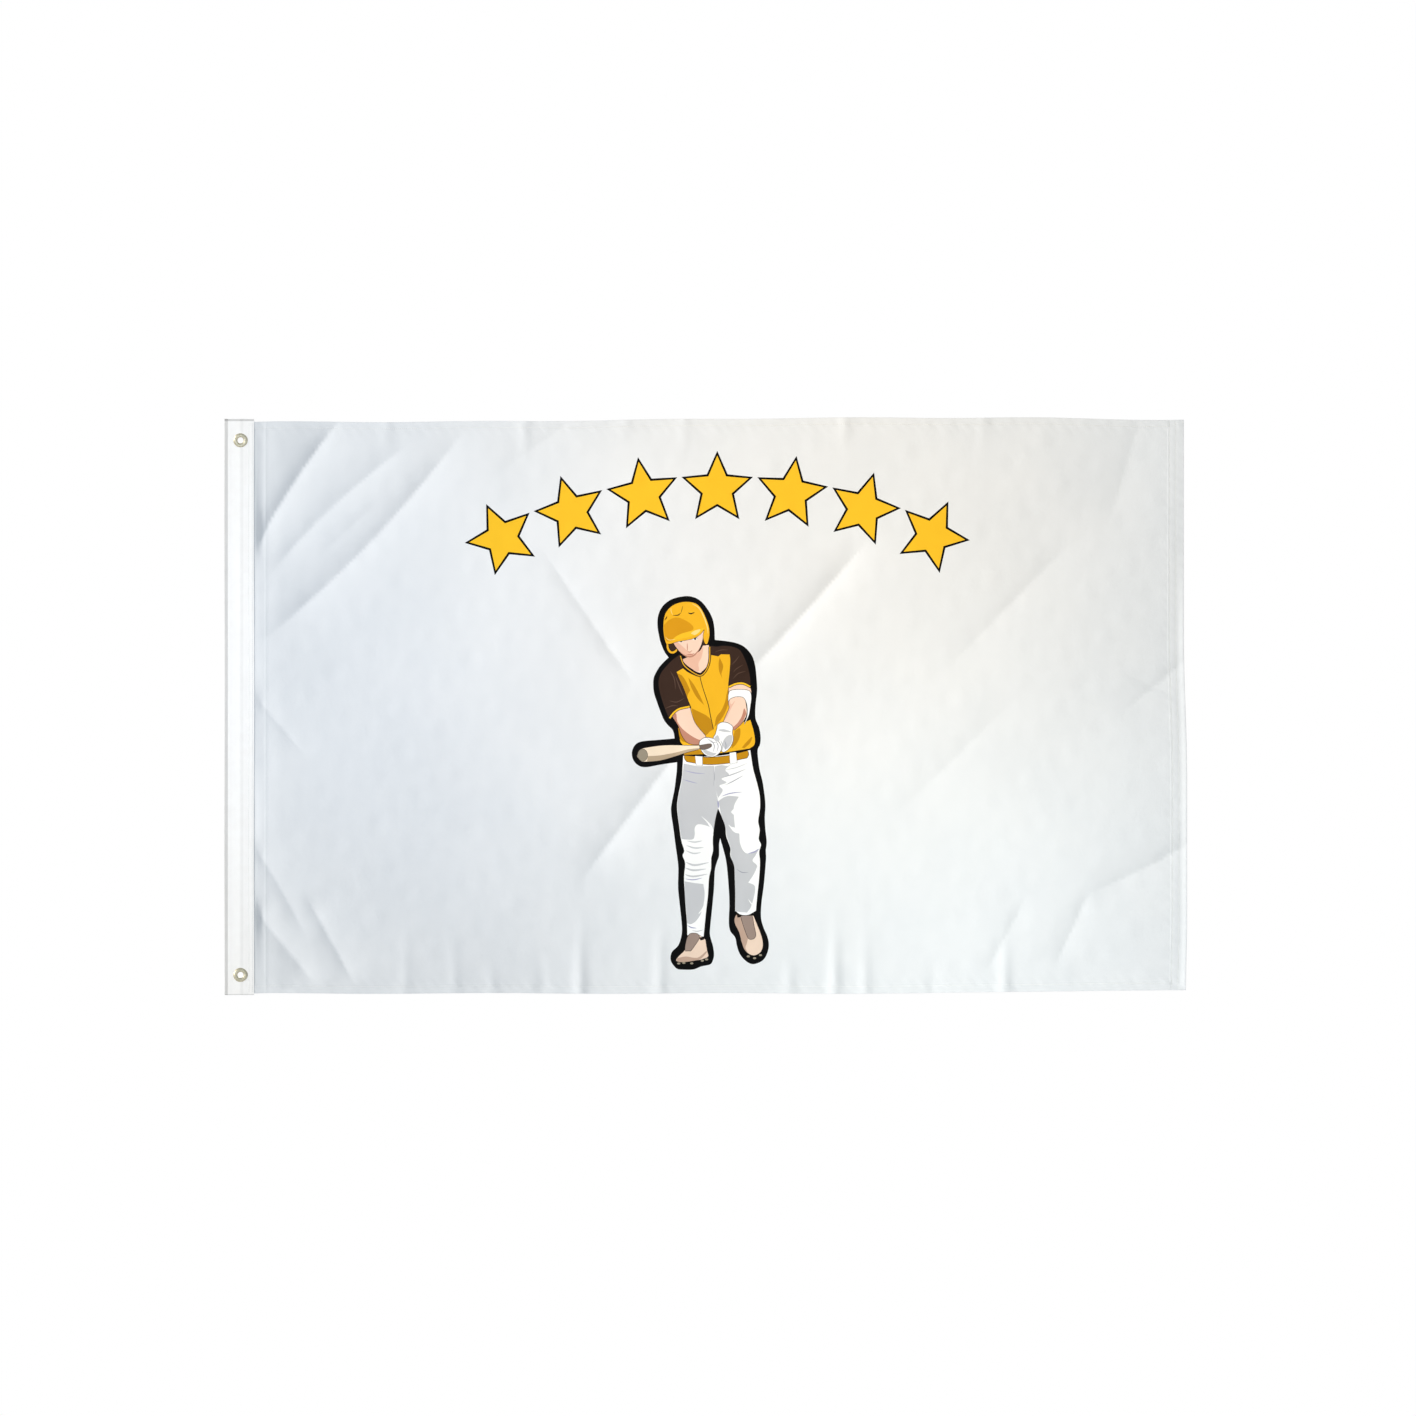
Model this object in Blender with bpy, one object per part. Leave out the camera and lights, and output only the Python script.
"""A rectangular printed cloth flag with a folded header tape and two clinched brass grommets.

Metres, +Z up. The flag is upright and spread out: the header stands along Z, the fly runs along +X, and the
printed front faces -Y. The origin is the centre of the upper grommet's hole, halfway through the header.

The fly is one sheet of cloth. Here it is three flat panels that hinge about upright axes, at the header's edge
and between the panels, so that the flag can swing, wave and curl. A lock-stitched row is two threads that run
along it, the needle thread on the front and the bobbin thread on the back.
"""

import math

import bmesh
import bpy

# Overall sizes
FLAG_LENGTH = 1.524
HEADER_HEIGHT = 0.914

# Header tape: one strip folded lengthways round the edge of the fly
HEADER_WIDTH = 0.047
HEADER_PLY = 0.0005
HEADER_OVERHANG = 0.003

# Fly cloth and its hems, which are folded twice towards the back
CLOTH_THICKNESS = 0.0003
HEM_PLIES = 3
TOP_HEM = 0.0115
BOTTOM_HEM = 0.0125
FLY_END_HEM = 0.025
PANEL_COUNT = 3

# Grommets: an eyelet goes in from the front, and its barrel is clinched over a washer behind
GROMMET_OFF_CENTRE = 0.002
GROMMET_FROM_END = 0.032
HOLE_RADIUS = 0.00485
BARREL_WALL = 0.0007
FLANGE_RADIUS = 0.011
FLANGE_RISE = 0.0016
CREST_INNER_RADIUS = 0.0066
CREST_OUTER_RADIUS = 0.0088
SHEET_METAL = 0.0006
CLINCH_WIDTH = 0.0016
ROUND_SEGMENTS = 32

# Stitch rows, measured from the edge that each row follows to the middle of the row
THREAD_WIDTH = 0.0006
THREAD_THICKNESS = 0.00025
HEADER_ROW_FROM_EDGE = 0.003
HEADER_ROW_FROM_FLANGE = 0.002
FLY_END_ROW_INSETS = {"inner": 0.0225, "outer": 0.0125}
HEM_ROW_FROM_FOLD = 0.0015
THREAD_END_INSET = 0.003

# Clearances
FIT_GAP = 0.0003
HINGE_GAP = 0.003

# Worked out from the sizes above
HOIST_EDGE = -(HEADER_WIDTH / 2 + GROMMET_OFF_CENTRE)
HEADER_EDGE = HOIST_EDGE + HEADER_WIDTH
FLY_END = HOIST_EDGE + FLAG_LENGTH
HEADER_TOP = GROMMET_FROM_END
HEADER_BOTTOM = HEADER_TOP - HEADER_HEIGHT
FLY_TOP = HEADER_TOP - HEADER_OVERHANG
FLY_BOTTOM = HEADER_BOTTOM + HEADER_OVERHANG
HEADER_ROWS = {
    "inner": HEADER_EDGE - HEADER_ROW_FROM_EDGE,
    "outer": FLANGE_RADIUS + HEADER_ROW_FROM_FLANGE,
}
LOWER_GROMMET_Z = HEADER_BOTTOM + GROMMET_FROM_END
SLOT_HALF = CLOTH_THICKNESS / 2 + FIT_GAP
HEADER_HALF = SLOT_HALF + HEADER_PLY
CLOTH_FRONT = -CLOTH_THICKNESS / 2
CLOTH_BACK = CLOTH_THICKNESS / 2
HEM_BACK = CLOTH_FRONT + HEM_PLIES * CLOTH_THICKNESS
PANEL_LENGTH = (FLY_END - HEADER_EDGE - PANEL_COUNT * HINGE_GAP) / PANEL_COUNT
BARREL_RADIUS = HOLE_RADIUS + BARREL_WALL
CLOTH_HOLE_RADIUS = BARREL_RADIUS + FIT_GAP
FLANGE_SEAT = HEADER_HALF + FIT_GAP

FOLD_STEPS = 8

PANEL_NAMES = ("hoist", "middle", "end")

COLOURS = {
    "header": ((0.87, 0.87, 0.86), 0.85, 0.0),
    "cloth": ((0.84, 0.86, 0.88), 0.6, 0.0),
    "brass": ((0.72, 0.62, 0.40), 0.35, 1.0),
    "thread": ((0.90, 0.90, 0.88), 0.55, 0.0),
}


def clear_scene():
    for item in list(bpy.data.objects):
        bpy.data.objects.remove(item, do_unlink=True)


def material(name):
    colour, roughness, metallic = COLOURS[name]
    made = bpy.data.materials.new(name)
    made.use_nodes = True
    shader = made.node_tree.nodes["Principled BSDF"]
    shader.inputs["Base Color"].default_value = (*colour, 1.0)
    shader.inputs["Roughness"].default_value = roughness
    shader.inputs["Metallic"].default_value = metallic
    return made


def add_object(name, mesh_data, surface, pivot=None):
    """Turns a bmesh into a named object with its faces pointing out, under the given hinge empty."""
    bmesh.ops.recalc_face_normals(mesh_data, faces=mesh_data.faces)
    mesh = bpy.data.meshes.new(name)
    mesh_data.to_mesh(mesh)
    mesh_data.free()
    mesh.materials.append(surface)
    made = bpy.data.objects.new(name, mesh)
    bpy.context.scene.collection.objects.link(made)
    if pivot is not None:
        made.parent = pivot
        made.matrix_parent_inverse = pivot.matrix_world.inverted()
    return made


def box(low, high):
    """A closed box between two corners."""
    solid = bmesh.new()
    bmesh.ops.create_cube(solid, size=1.0)
    for vertex in solid.verts:
        for axis in range(3):
            share = vertex.co[axis] + 0.5
            vertex.co[axis] = low[axis] + share * (high[axis] - low[axis])
    return solid


def loft(rings):
    """A closed solid through rings of points, each ring with the same number of points, capped at both ends."""
    solid = bmesh.new()
    loops = [[solid.verts.new(point) for point in ring] for ring in rings]
    count = len(loops[0])
    for first, second in zip(loops, loops[1:]):
        for i in range(count):
            j = (i + 1) % count
            solid.faces.new((first[i], first[j], second[j], second[i]))
    solid.faces.new(loops[0])
    solid.faces.new(loops[-1])
    bmesh.ops.remove_doubles(solid, verts=solid.verts, dist=0.00001)
    return solid


def turned(profile, centre):
    """Spins a closed profile of (radius, y) points round the Y axis through a centre."""
    solid = bmesh.new()
    loops = []
    for step in range(ROUND_SEGMENTS):
        angle = 2 * math.pi * step / ROUND_SEGMENTS
        loops.append([
            solid.verts.new((centre[0] + radius * math.cos(angle), y, centre[1] + radius * math.sin(angle)))
            for radius, y in profile
        ])
    count = len(profile)
    for step in range(ROUND_SEGMENTS):
        first = loops[step]
        second = loops[(step + 1) % ROUND_SEGMENTS]
        for i in range(count):
            j = (i + 1) % count
            solid.faces.new((first[i], first[j], second[j], second[i]))
    return solid


def cut_grommet_holes(target):
    """Cuts the two holes that the grommets' barrels pass through."""
    for place, centre_z in (("upper", 0.0), ("lower", LOWER_GROMMET_Z)):
        cutter_mesh = bpy.data.meshes.new(f"{target.name}_{place}_hole")
        cutter_data = bmesh.new()
        bmesh.ops.create_cone(
            cutter_data,
            cap_ends=True,
            segments=ROUND_SEGMENTS,
            radius1=CLOTH_HOLE_RADIUS,
            radius2=CLOTH_HOLE_RADIUS,
            depth=8 * HEADER_HALF,
        )
        cutter_data.to_mesh(cutter_mesh)
        cutter_data.free()
        cutter = bpy.data.objects.new(cutter_mesh.name, cutter_mesh)
        bpy.context.scene.collection.objects.link(cutter)
        cutter.location = (0.0, 0.0, centre_z)
        cutter.rotation_euler = (math.pi / 2, 0.0, 0.0)
        cutter.hide_render = True
        cutter.display_type = "WIRE"
        cut = target.modifiers.new(f"{place}_hole", "BOOLEAN")
        cut.operation = "DIFFERENCE"
        cut.solver = "EXACT"
        cut.object = cutter


def half_circle(centre_x, radius):
    """Points (x, y) round the hoist side of a circle, from the front to the back."""
    points = []
    for step in range(FOLD_STEPS + 1):
        angle = -math.pi / 2 - math.pi * step / FOLD_STEPS
        points.append((centre_x + radius * math.cos(angle), radius * math.sin(angle)))
    return points


def make_header_tape(surface):
    """The folded strip: front ply, round fold on the hoist edge, back ply, open towards the fly."""
    fold_centre = HOIST_EDGE + HEADER_HALF
    outside = [(HEADER_EDGE, -HEADER_HALF)] + half_circle(fold_centre, HEADER_HALF)
    outside.append((HEADER_EDGE, HEADER_HALF))
    inside = [(HEADER_EDGE, -SLOT_HALF)] + half_circle(fold_centre, SLOT_HALF)
    inside.append((HEADER_EDGE, SLOT_HALF))
    section = outside + inside[::-1]
    rings = [[(x, y, z) for x, y in section] for z in (HEADER_BOTTOM, HEADER_TOP)]
    tape = add_object("header_tape", loft(rings), surface)
    cut_grommet_holes(tape)


def make_fly_margin(surface):
    """The strip of the fly that is sewn in between the header's plies."""
    low = (HOIST_EDGE + HEADER_HALF, CLOTH_FRONT, FLY_BOTTOM)
    high = (HEADER_EDGE, CLOTH_BACK, FLY_TOP)
    margin = add_object("fly_margin", box(low, high), surface)
    cut_grommet_holes(margin)


def eyelet_profile():
    """(radius, y): a domed flange on the front with a flat crest, a barrel, and its clinched end behind."""
    seat = -FLANGE_SEAT
    crest = seat - FLANGE_RISE
    clinch_seat = FLANGE_SEAT + SHEET_METAL + FIT_GAP
    clinch_crest = clinch_seat + SHEET_METAL
    shoulder = SHEET_METAL / 2
    return [
        (FLANGE_RADIUS, seat),
        (FLANGE_RADIUS, seat - shoulder),
        ((FLANGE_RADIUS + CREST_OUTER_RADIUS) / 2, (seat + 3 * crest) / 4),
        (CREST_OUTER_RADIUS, crest),
        (CREST_INNER_RADIUS, crest),
        ((CREST_INNER_RADIUS + HOLE_RADIUS) / 2, (seat + 3 * crest) / 4),
        (HOLE_RADIUS, seat),
        (HOLE_RADIUS, clinch_seat),
        (HOLE_RADIUS + shoulder, clinch_crest),
        (BARREL_RADIUS + CLINCH_WIDTH, clinch_crest),
        (BARREL_RADIUS + CLINCH_WIDTH, clinch_seat),
        (BARREL_RADIUS, clinch_seat),
        (BARREL_RADIUS, seat),
    ]


def washer_profile():
    """(radius, y): a flat ring behind the header, round the barrel and under its clinched end."""
    return [
        (CLOTH_HOLE_RADIUS, FLANGE_SEAT),
        (FLANGE_RADIUS, FLANGE_SEAT),
        (FLANGE_RADIUS, FLANGE_SEAT + SHEET_METAL / 2),
        (FLANGE_RADIUS - SHEET_METAL / 2, FLANGE_SEAT + SHEET_METAL),
        (CLOTH_HOLE_RADIUS, FLANGE_SEAT + SHEET_METAL),
    ]


def make_grommets(surface):
    for place, centre_z in (("upper", 0.0), ("lower", LOWER_GROMMET_Z)):
        centre = (0.0, centre_z)
        for part, profile in (("eyelet", eyelet_profile()), ("washer", washer_profile())):
            ring = add_object(f"{place}_grommet_{part}", turned(profile, centre), surface)
            ring.data.shade_smooth()
            ring.data.set_sharp_from_angle(angle=math.radians(40))


def panel_start(index):
    return HEADER_EDGE + HINGE_GAP + index * (PANEL_LENGTH + HINGE_GAP)


def hinge_x(index):
    """The upright hinge on a panel's hoist side is in the middle of the gap there."""
    return panel_start(index) - HINGE_GAP / 2


def make_hinges():
    """One empty on each hinge's axis, each under the one before it."""
    pivots = []
    for index, name in enumerate(PANEL_NAMES):
        pivot = bpy.data.objects.new(f"{name}_hinge", None)
        bpy.context.scene.collection.objects.link(pivot)
        if pivots:
            pivot.parent = pivots[-1]
            pivot.location.x = hinge_x(index) - hinge_x(index - 1)
        else:
            pivot.location.x = hinge_x(index)
        pivots.append(pivot)
    bpy.context.view_layer.update()
    return pivots


def panel_section(x, field_back):
    """A cross-section of the fly at x: flat in front, with the hems standing proud behind."""
    outline = [
        (FLY_BOTTOM, CLOTH_FRONT),
        (FLY_TOP, CLOTH_FRONT),
        (FLY_TOP, HEM_BACK),
        (FLY_TOP - TOP_HEM, HEM_BACK),
        (FLY_TOP - TOP_HEM, field_back),
        (FLY_BOTTOM + BOTTOM_HEM, field_back),
        (FLY_BOTTOM + BOTTOM_HEM, HEM_BACK),
        (FLY_BOTTOM, HEM_BACK),
    ]
    return [(x, y, z) for z, y in outline]


def make_panels(surface, pivots):
    for index, name in enumerate(PANEL_NAMES):
        start = panel_start(index)
        end = start + PANEL_LENGTH
        rings = [panel_section(start, CLOTH_BACK)]
        if index == PANEL_COUNT - 1:
            rings.append(panel_section(end - FLY_END_HEM, CLOTH_BACK))
            rings.append(panel_section(end - FLY_END_HEM, HEM_BACK))
            rings.append(panel_section(end, HEM_BACK))
        else:
            rings.append(panel_section(end, CLOTH_BACK))
        add_object(f"fly_{name}_panel", loft(rings), surface, pivots[index])


def make_thread_pair(row, suffix, low, high, front, back, surface, pivot=None):
    """Needle thread on the front and bobbin thread on the back, over the same stretch. low and high are (x, z)."""
    for thread, near in (("needle", front - FIT_GAP - THREAD_THICKNESS), ("bobbin", back + FIT_GAP)):
        name = f"{row}_{thread}_thread{suffix}"
        solid = box((low[0], near, low[1]), (high[0], near + THREAD_THICKNESS, high[1]))
        add_object(name, solid, surface, pivot)


def make_header_rows(surface):
    half = THREAD_WIDTH / 2
    for row, middle in HEADER_ROWS.items():
        low = (middle - half, HEADER_BOTTOM + THREAD_END_INSET)
        high = (middle + half, HEADER_TOP - THREAD_END_INSET)
        make_thread_pair(f"header_{row}_row", "", low, high, -HEADER_HALF, HEADER_HALF, surface)


def make_hem_rows(surface, pivots):
    """The rows along the top and bottom hems, panel by panel. They stop short of the fly-end hem's rows."""
    half = THREAD_WIDTH / 2
    rows = {
        "top_hem": FLY_TOP - TOP_HEM + HEM_ROW_FROM_FOLD,
        "bottom_hem": FLY_BOTTOM + BOTTOM_HEM - HEM_ROW_FROM_FOLD,
    }
    for row, height in rows.items():
        for index, name in enumerate(PANEL_NAMES):
            start = panel_start(index) + THREAD_END_INSET
            end = panel_start(index) + PANEL_LENGTH - THREAD_END_INSET
            if index == PANEL_COUNT - 1:
                end = FLY_END - FLY_END_ROW_INSETS["inner"] - THREAD_WIDTH
            low = (start, height - half)
            high = (end, height + half)
            make_thread_pair(row, f"_{name}", low, high, CLOTH_FRONT, HEM_BACK, surface, pivots[index])


def make_fly_end_rows(surface, pivots):
    half = THREAD_WIDTH / 2
    for row, inset in FLY_END_ROW_INSETS.items():
        middle = FLY_END - inset
        low = (middle - half, FLY_BOTTOM + THREAD_END_INSET)
        high = (middle + half, FLY_TOP - THREAD_END_INSET)
        make_thread_pair(f"fly_end_{row}_row", "", low, high, CLOTH_FRONT, HEM_BACK, surface, pivots[-1])


def main():
    clear_scene()
    surfaces = {name: material(name) for name in COLOURS}
    pivots = make_hinges()
    make_header_tape(surfaces["header"])
    make_fly_margin(surfaces["cloth"])
    make_grommets(surfaces["brass"])
    make_panels(surfaces["cloth"], pivots)
    make_header_rows(surfaces["thread"])
    make_hem_rows(surfaces["thread"], pivots)
    make_fly_end_rows(surfaces["thread"], pivots)


main()
